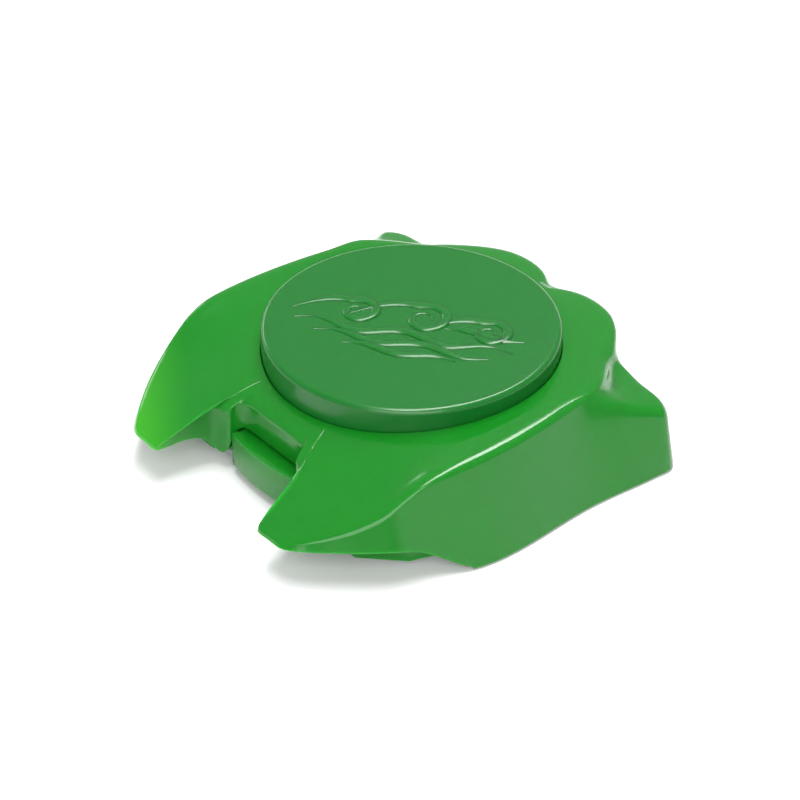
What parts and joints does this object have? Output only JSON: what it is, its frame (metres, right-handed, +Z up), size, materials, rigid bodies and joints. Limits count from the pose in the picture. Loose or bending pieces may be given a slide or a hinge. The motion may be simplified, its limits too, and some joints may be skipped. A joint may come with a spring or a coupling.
{
  "type": "foot switch",
  "caption": "Low round-disc foot switch: a sprung press disc in a glossy two-prong plastic shell, over a weighted tray with a microswitch and a lead socket.",
  "frame": {"origin": "centre of the plan, on the surface that the rubber feet stand on", "axes": "+Z up; +Y from the front prongs to the rear lobes and the socket; +X to the right, seen from the front"},
  "size_m": [0.1058, 0.1097, 0.029],
  "materials": {
    "shell_green": "glossy, slightly translucent green moulding",
    "disc_green": "satin gloss green moulding with a low raised ornament",
    "tray_green": "glossy green moulding",
    "plate_steel": "zinc plated sheet",
    "black_rubber": "matt rubber",
    "screw_steel": "bright zinc plated",
    "bush_white": "natural acetal",
    "spring_steel": "drawn spring wire",
    "bracket_steel": "pressed sheet",
    "case_black": "moulded phenolic",
    "cover_grey": "moulded phenolic",
    "plunger_red": "moulded",
    "contact_brass": "stamped strip",
    "jack_nickel": "nickel plated",
    "lead_red": "PVC insulation",
    "lead_black": "PVC insulation"
  },
  "bodies": {
    "housing": {"top_shell": "shell_green", "base_tray": "tray_green", "ballast_plate": "plate_steel", "rubber_feet": "black_rubber", "guide_bushes": "bush_white", "spring_left": "spring_steel", "spring_right": "spring_steel", "spring_front": "spring_steel", "stop_pads": "black_rubber", "switch_bracket": "bracket_steel", "switch_case": "case_black", "switch_cover": "cover_grey", "switch_pivot_pin": "screw_steel", "switch_terminals": "contact_brass", "switch_screws": "screw_steel", "jack_body": "case_black", "jack_sleeve": "jack_nickel", "jack_nut": "jack_nickel", "jack_washer": "jack_nickel", "jack_tip_spring": "contact_brass", "jack_sleeve_lug": "contact_brass", "lead_tip": "lead_red", "lead_sleeve": "lead_black", "lead_clip": "bush_white", "shell_screws": "screw_steel", "plate_screws": "screw_steel"},
    "press": {"press_disc": "disc_green", "guide_screws": "screw_steel", "actuator_screw": "screw_steel", "actuator_nut": "screw_steel"},
    "lever": {"switch_lever": "spring_steel"},
    "plunger": {"switch_plunger": "plunger_red"}
  },
  "joints": [
    {"name": "press_slide", "type": "slide", "parent": "housing", "child": "press", "axis": [0, 0, -1], "range_m": [0, 0.002], "stiffness_N_per_m": 3000, "springref_m": -0.003, "deforming": ["spring_left", "spring_right", "spring_front"]},
    {"name": "lever_turn", "type": "hinge", "parent": "housing", "child": "lever", "pos_m": [-0.014, 0.0054, 0.018], "axis": [0, 1, 0], "range_deg": [0, 8.4]},
    {"name": "plunger_slide", "type": "slide", "parent": "housing", "child": "plunger", "axis": [0, 0, -1], "range_m": [0, 0.0008]}
  ],
  "couplings": [
    {"joint": "lever_turn", "follows": "press_slide", "rad_per_m": 71.429},
    {"joint": "plunger_slide", "follows": "press_slide", "ratio": 0.37143}
  ]
}
